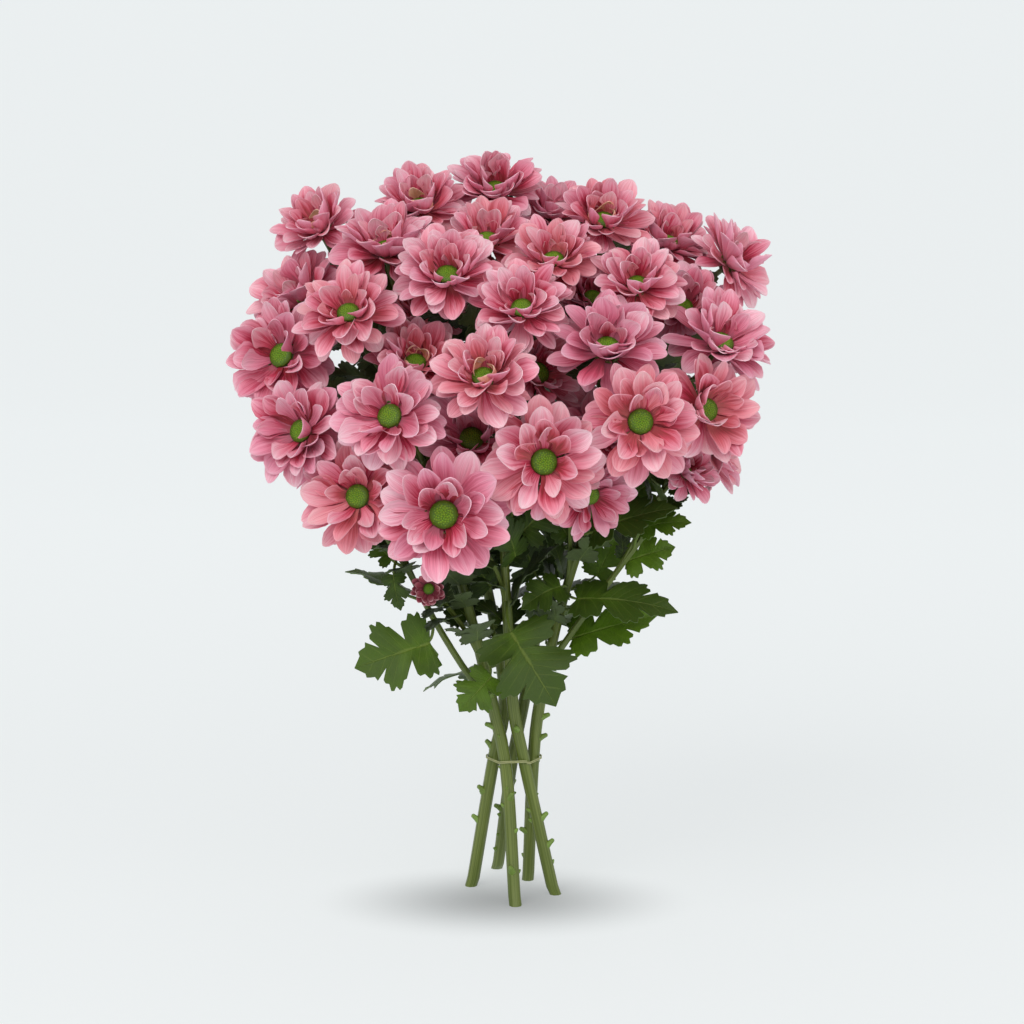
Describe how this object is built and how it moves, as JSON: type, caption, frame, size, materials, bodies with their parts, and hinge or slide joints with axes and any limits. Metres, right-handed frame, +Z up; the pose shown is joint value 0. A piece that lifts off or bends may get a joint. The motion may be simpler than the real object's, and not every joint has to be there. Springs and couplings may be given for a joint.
{
  "type": "spray chrysanthemum bunch",
  "caption": "Tied bunch of cut spray chrysanthemums: double pink flowers with green centres over lobed leaves, on bare splayed stems that stand on their cut ends.",
  "frame": {"origin": "centre of the bounding box at its base, on the surface that the cut stem ends stand on", "axes": "+Z up along the bunch, -Y towards the front that the picture shows, +X to the right of that view"},
  "size_m": [0.3487, 0.3037, 0.492],
  "materials": {
    "stem_green": "matte plant green",
    "petal_pink": "matte soft petal",
    "bud_rose": "matte soft petal",
    "twine_straw": "matte fibre"
  },
  "bodies": {
    "root": {"stem_a": "stem_green", "stem_b": "stem_green", "stem_c": "stem_green", "stem_d": "stem_green", "stem_e": "stem_green", "bloom_01": "petal_pink", "bloom_02": "petal_pink", "bloom_03": "petal_pink", "bloom_04": "petal_pink", "bloom_05": "petal_pink", "bloom_06": "petal_pink", "bloom_07": "petal_pink", "bloom_08": "petal_pink", "bloom_09": "petal_pink", "bloom_10": "petal_pink", "bloom_11": "petal_pink", "bloom_12": "petal_pink", "bloom_13": "petal_pink", "bloom_14": "petal_pink", "bloom_15": "petal_pink", "bloom_16": "petal_pink", "bloom_17": "petal_pink", "bloom_18": "petal_pink", "bloom_19": "petal_pink", "bloom_20": "petal_pink", "bloom_21": "petal_pink", "bloom_22": "petal_pink", "bloom_23": "petal_pink", "bloom_24": "petal_pink", "bloom_25": "petal_pink", "bloom_26": "petal_pink", "bloom_27": "petal_pink", "bloom_28": "petal_pink", "bloom_29": "petal_pink", "bloom_30": "petal_pink", "bloom_31": "petal_pink", "bloom_32": "petal_pink", "bloom_33": "petal_pink", "bloom_34": "petal_pink", "bloom_35": "petal_pink", "bloom_36": "petal_pink", "bloom_37": "petal_pink", "bloom_38": "petal_pink", "bloom_39": "petal_pink", "bloom_40": "petal_pink", "bloom_41": "petal_pink", "bloom_42": "petal_pink", "bloom_43": "petal_pink", "bloom_44": "petal_pink", "bloom_45": "petal_pink", "bloom_46": "petal_pink", "bloom_47": "petal_pink", "bloom_48": "petal_pink", "bloom_49": "petal_pink", "bloom_50": "petal_pink", "bloom_51": "petal_pink", "bloom_52": "petal_pink", "bloom_53": "petal_pink", "bud": "bud_rose", "tie": "twine_straw"}
  },
  "joints": []
}
